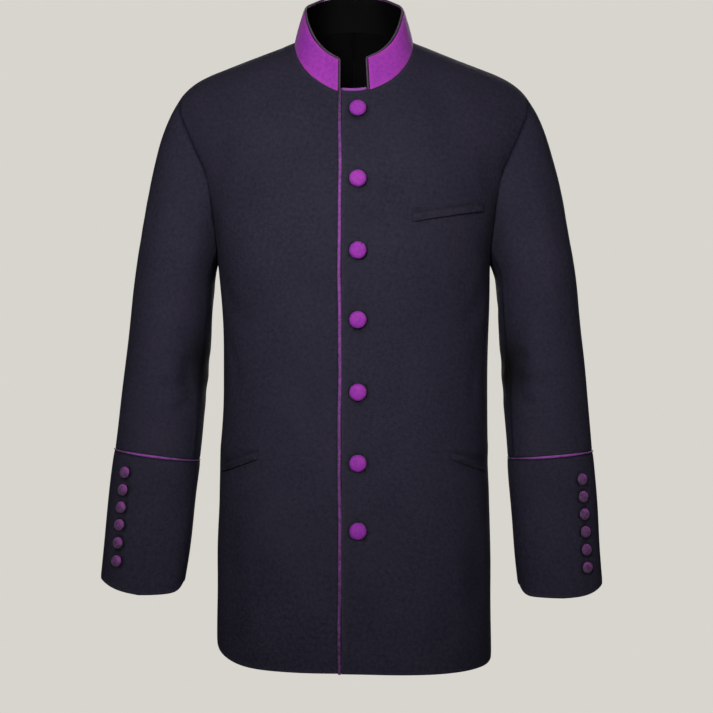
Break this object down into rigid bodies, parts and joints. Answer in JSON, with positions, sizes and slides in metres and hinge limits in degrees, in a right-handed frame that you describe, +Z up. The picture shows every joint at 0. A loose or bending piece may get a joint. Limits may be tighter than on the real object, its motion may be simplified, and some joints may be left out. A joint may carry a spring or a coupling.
{
  "type": "clergy coat",
  "caption": "Hip-length black clergy coat with a purple stand collar, purple covered buttons and piping, and deep buttoned cuffs, filled out as when worn.",
  "frame": {"origin": "middle of the neck at the height where the shoulder seams meet the collar, where the wearer's neck and shoulders hold the coat up", "axes": "+X the wearer's left, +Y the back, +Z up along the coat's length"},
  "size_m": [0.6356, 0.2722, 0.8722],
  "materials": {
    "suiting": "matte",
    "purple_cloth": "matte",
    "purple_cord": "matte",
    "dark_cord": "matte",
    "black_lining": "satin"
  },
  "bodies": {
    "root": {"front_left": "suiting", "back_left": "suiting", "top_sleeve_left": "suiting", "under_sleeve_left": "suiting", "cuff_left": "suiting", "pocket_welt_left": "suiting", "cuff_piping_left": "purple_cord", "cuff_button_left_1": "purple_cloth", "cuff_button_left_2": "purple_cloth", "cuff_button_left_3": "purple_cloth", "cuff_button_left_4": "purple_cloth", "cuff_button_left_5": "purple_cloth", "cuff_button_left_6": "purple_cloth", "front_right": "suiting", "back_right": "suiting", "top_sleeve_right": "suiting", "under_sleeve_right": "suiting", "cuff_right": "suiting", "pocket_welt_right": "suiting", "cuff_piping_right": "purple_cord", "cuff_button_right_1": "purple_cloth", "cuff_button_right_2": "purple_cloth", "cuff_button_right_3": "purple_cloth", "cuff_button_right_4": "purple_cloth", "cuff_button_right_5": "purple_cloth", "cuff_button_right_6": "purple_cloth", "breast_welt": "suiting", "collar": "purple_cloth", "collar_lining": "black_lining", "collar_piping": "dark_cord", "front_piping": "purple_cord", "front_button_1": "purple_cloth", "front_button_2": "purple_cloth", "front_button_3": "purple_cloth", "front_button_4": "purple_cloth", "front_button_5": "purple_cloth", "front_button_6": "purple_cloth", "front_button_7": "purple_cloth"}
  },
  "joints": []
}
